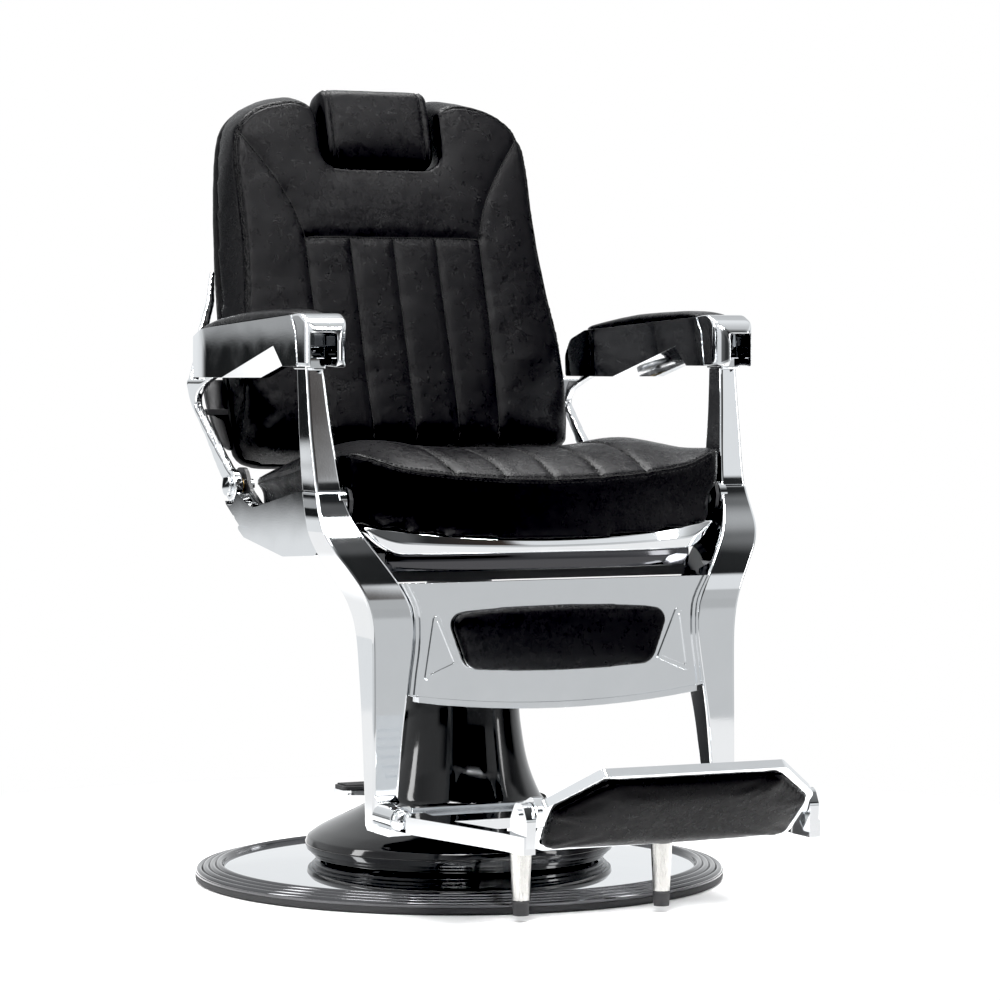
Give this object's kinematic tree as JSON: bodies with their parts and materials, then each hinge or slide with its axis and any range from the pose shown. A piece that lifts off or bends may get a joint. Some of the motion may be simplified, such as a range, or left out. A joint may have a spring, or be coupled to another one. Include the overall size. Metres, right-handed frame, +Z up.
{
  "type": "hydraulic barber chair",
  "caption": "Reclining hydraulic barber chair with padded seat, back and headrest, chrome arms and leg frame, flip footplate and round pedestal base.",
  "frame": {"origin": "centre of the round base on the floor", "axes": "+Z up, the chair faces -Y, the sitter's left is +X"},
  "size_m": [0.6799, 1.0107, 1.0298],
  "materials": {
    "rubber_black": "matt moulded rubber",
    "plate_steel": "machined steel",
    "chrome": "mirror chrome plate",
    "black_gloss": "high gloss black",
    "black_paint": "satin black paint",
    "bronze": "sintered bronze",
    "plywood": "raw birch plywood",
    "black_leather": "semi-gloss upholstery leather with fine grain",
    "black_vinyl": "black vinyl over a moulded back",
    "brushed_leg": "turned and brushed"
  },
  "bodies": {
    "base": {"floor_ring": "rubber_black", "base_plate": "plate_steel", "base_rim": "chrome", "base_disc": "chrome", "skirt_dome": "black_gloss", "column_cover": "black_gloss", "hydraulic_cylinder": "plate_steel", "reservoir_tube": "black_paint", "gland_cap": "plate_steel", "gland_seal": "rubber_black", "flange_bolts": "plate_steel", "pump_body": "plate_steel", "pedal_pin": "plate_steel"},
    "plunger": {"pump_plunger": "plate_steel"},
    "pedal": {"pump_pedal": "chrome", "pedal_rubber": "rubber_black"},
    "ram": {"ram_rod": "chrome", "piston": "plate_steel", "piston_seal": "rubber_black", "swivel_bearing": "bronze"},
    "seat": {"seat_frame": "black_paint", "seat_cover_left": "chrome", "seat_cover_right": "chrome", "seat_board": "black_paint", "seat_cushion": "black_leather", "front_trim": "chrome", "front_apron": "chrome", "leg_pivot_pins": "plate_steel", "back_bushes": "bronze"},
    "lever": {"recline_lever": "chrome", "lever_grip": "black_gloss"},
    "back": {"back_bracket_left": "chrome", "back_bracket_right": "chrome", "back_frame": "black_paint", "back_board": "plywood", "back_cushion": "black_leather", "back_shell": "black_vinyl", "back_pivot_pins": "chrome", "lock_disc": "plate_steel", "arm_rear_pins": "plate_steel"},
    "headrest": {"headrest_cushion": "black_leather", "headrest_rods": "chrome"},
    "arm_left": {"arm_left_frame": "chrome", "arm_left_cap": "chrome", "arm_left_pad": "black_leather"},
    "arm_right": {"arm_right_frame": "chrome", "arm_right_cap": "chrome", "arm_right_pad": "black_leather"},
    "leg_frame": {"post_left": "chrome", "post_right": "chrome", "leg_bushes": "bronze", "arm_front_pins": "plate_steel", "calf_panel": "chrome", "calf_pad": "black_leather", "footrest_bracket": "chrome", "bracket_bolts": "chrome", "footrest_legs": "brushed_leg", "leg_tips": "rubber_black"},
    "footplate": {"footplate_frame": "chrome", "footplate_pad": "black_leather"}
  },
  "joints": [
    {"name": "lift", "type": "slide", "parent": "base", "child": "ram", "axis": [0, 0, 1], "range_m": [0, 0.15]},
    {"name": "swivel", "type": "hinge", "parent": "ram", "child": "seat", "pos_m": [0, 0, 0.38], "axis": [0, 0, 1], "continuous": true},
    {"name": "recline", "type": "hinge", "parent": "seat", "child": "back", "pos_m": [0, 0.125, 0.505], "axis": [-1, 0, 0], "range_deg": [0, 45]},
    {"name": "leg_swing", "type": "hinge", "parent": "seat", "child": "leg_frame", "pos_m": [0, -0.216, 0.495], "axis": [-1, 0, 0], "range_deg": [0, 45]},
    {"name": "arm_left_hinge", "type": "hinge", "parent": "back", "child": "arm_left", "pos_m": [0.275, 0.157, 0.68], "axis": [-1, 0, 0], "range_deg": [-45, 0]},
    {"name": "arm_right_hinge", "type": "hinge", "parent": "back", "child": "arm_right", "pos_m": [-0.275, 0.157, 0.68], "axis": [-1, 0, 0], "range_deg": [-45, 0]},
    {"name": "headrest_slide", "type": "slide", "parent": "back", "child": "headrest", "axis": [0, 0.3007, 0.9537], "range_m": [0, 0.08]},
    {"name": "footplate_flip", "type": "hinge", "parent": "leg_frame", "child": "footplate", "pos_m": [0, -0.578, 0.155], "axis": [1, 0, 0], "range_deg": [0, 180]},
    {"name": "pedal", "type": "hinge", "parent": "base", "child": "pedal", "pos_m": [0, 0.101, 0.071], "axis": [-1, 0, 0], "range_deg": [0, 12]},
    {"name": "plunger_slide", "type": "slide", "parent": "base", "child": "plunger", "axis": [0, 0, -1], "range_m": [0, 0.0075]},
    {"name": "recline_lever_turn", "type": "hinge", "parent": "seat", "child": "lever", "pos_m": [0.26, 0.112, 0.461], "axis": [-1, 0, 0], "range_deg": [0, 20]}
  ],
  "couplings": [
    {"joint": "leg_swing", "follows": "recline", "ratio": 1},
    {"joint": "arm_left_hinge", "follows": "recline", "ratio": -1},
    {"joint": "arm_right_hinge", "follows": "recline", "ratio": -1},
    {"joint": "plunger_slide", "follows": "pedal", "m_per_rad": 0.034}
  ]
}
